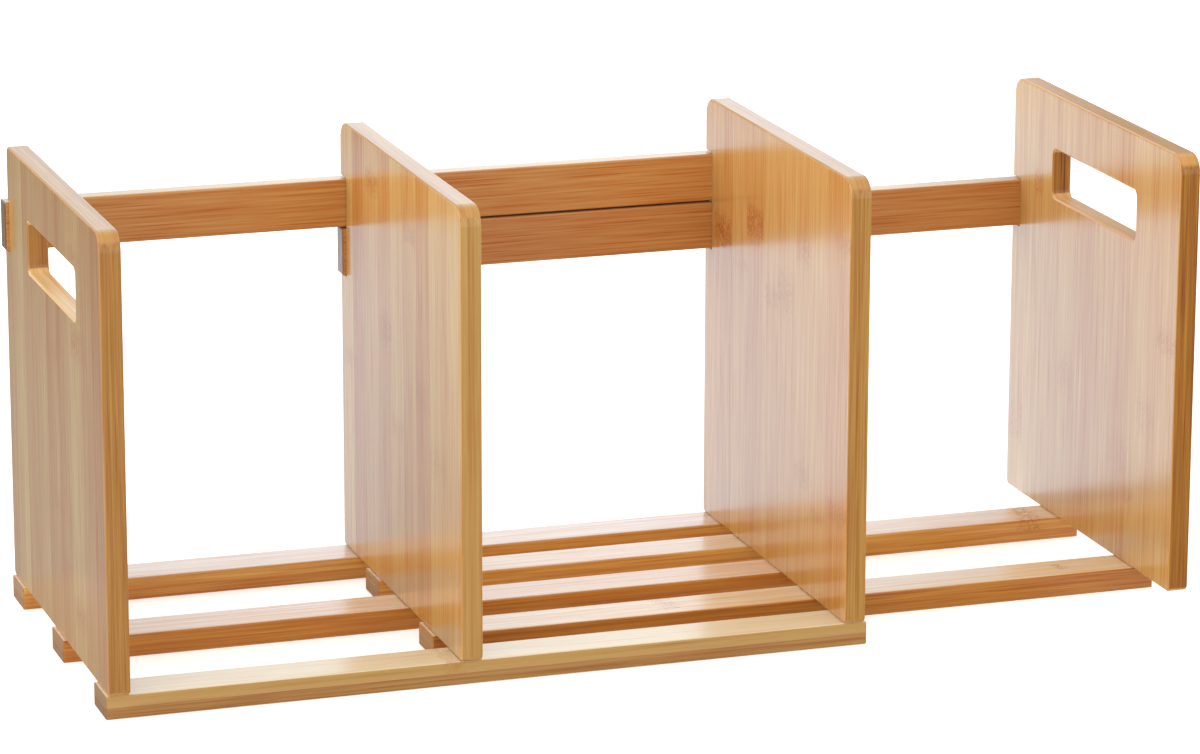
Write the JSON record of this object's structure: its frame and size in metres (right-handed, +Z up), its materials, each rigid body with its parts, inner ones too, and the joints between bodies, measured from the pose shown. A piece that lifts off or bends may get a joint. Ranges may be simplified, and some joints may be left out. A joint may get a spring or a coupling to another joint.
{
  "type": "extending table-top bookshelf",
  "caption": "Extending bamboo bookshelf for a table top: frames of boards and slats slide sideways through each other, with a handle slot in each end board.",
  "frame": {"origin": "on the table, under the middle of the shelf as the picture shows it", "axes": "+X to the right along the slide, +Y to the back, +Z up"},
  "size_m": [0.4766, 0.18, 0.201],
  "materials": {
    "bamboo_board": "gloss clear lacquer",
    "bamboo_slat": "gloss clear lacquer",
    "bamboo_rail": "gloss clear lacquer",
    "screw_steel": "zinc plated"
  },
  "bodies": {
    "left_frame": {"left_end_board": "bamboo_board", "left_frame_divider": "bamboo_board", "front_slat": "bamboo_slat", "middle_slat": "bamboo_slat", "rear_slat": "bamboo_slat", "upper_back_rail": "bamboo_rail", "left_slat_screws": "screw_steel", "left_rail_screws": "screw_steel"},
    "right_frame": {"right_end_board": "bamboo_board", "right_frame_divider": "bamboo_board", "front_inner_slat": "bamboo_slat", "rear_inner_slat": "bamboo_slat", "lower_back_rail": "bamboo_rail", "right_slat_screws": "screw_steel", "right_rail_screws": "screw_steel"}
  },
  "joints": [
    {"name": "extend", "type": "slide", "parent": "left_frame", "child": "right_frame", "axis": [1, 0, 0], "range_m": [-0.137, 0.159]}
  ]
}
